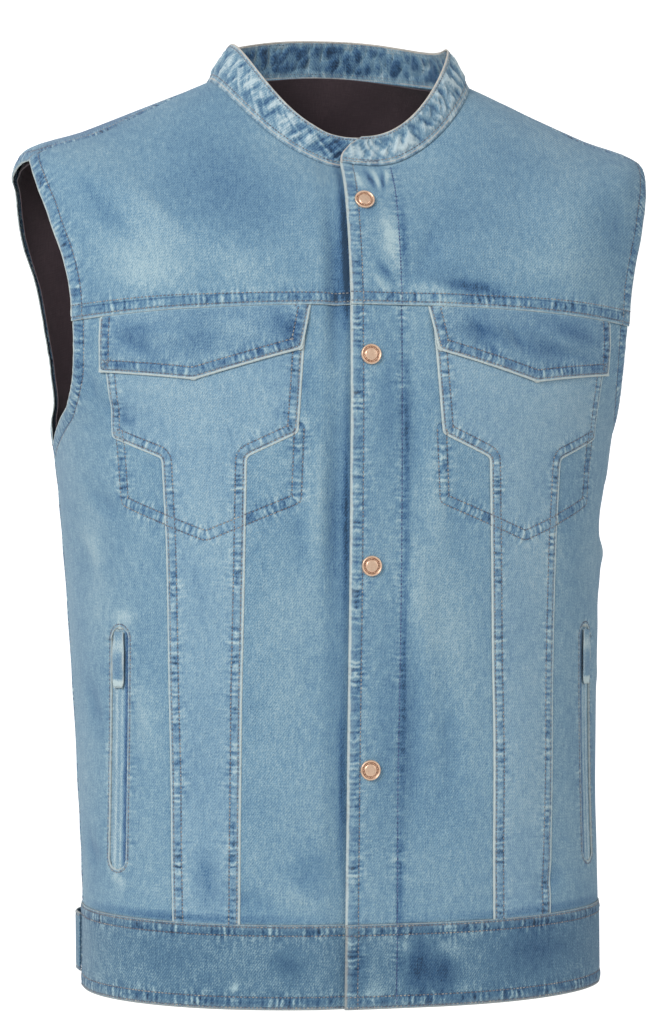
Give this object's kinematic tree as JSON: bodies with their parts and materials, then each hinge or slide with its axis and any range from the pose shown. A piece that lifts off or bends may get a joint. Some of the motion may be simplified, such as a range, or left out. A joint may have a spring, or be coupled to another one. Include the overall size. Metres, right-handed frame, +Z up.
{
  "type": "denim vest",
  "caption": "Sleeveless light blue denim vest in its worn open form, with a stand collar, snap front, flap pockets, zipped side pockets and a hem band with waist tabs.",
  "frame": {"origin": "midway between the two high points of the shoulders, where the collar band meets them and the wearer's shoulders hold the vest", "axes": "+X to the wearer's left, the front faces -Y, +Z up"},
  "size_m": [0.4922, 0.269, 0.7306],
  "materials": {
    "denim": "washed light blue cotton twill with tan stitching",
    "denim_pocket": "washed light blue cotton twill, paler along its folded edges",
    "denim_band": "washed mid blue cotton twill, doubled and topstitched",
    "denim_collar": "pale washed cotton twill, puckered along its stitching",
    "lining": "dark brown smooth woven lining",
    "copper": "brushed pale copper snap cap"
  },
  "bodies": {
    "root": {"yoke_front_right": "denim", "centre_front_right": "denim", "pocket_front_right": "denim_pocket", "side_front_right": "denim", "pocket_flap_right": "denim", "pocket_bag_right": "lining", "side_welt_right": "denim", "zip_pull_right": "denim_pocket", "lining_front_right": "lining", "yoke_front_left": "denim", "centre_front_left": "denim", "pocket_front_left": "denim_pocket", "side_front_left": "denim", "pocket_flap_left": "denim", "pocket_bag_left": "lining", "side_welt_left": "denim", "zip_pull_left": "denim_pocket", "lining_front_left": "lining", "back_panel": "denim", "lining_back": "lining", "collar_band": "denim_collar", "band_back": "denim_band", "band_front_right": "denim_band", "waist_tab_right": "denim_band", "tab_snap_right": "copper", "band_front_left": "denim_band", "waist_tab_left": "denim_band", "tab_snap_left": "copper", "snap_1": "copper", "snap_2": "copper", "snap_3": "copper", "snap_4": "copper"}
  },
  "joints": []
}
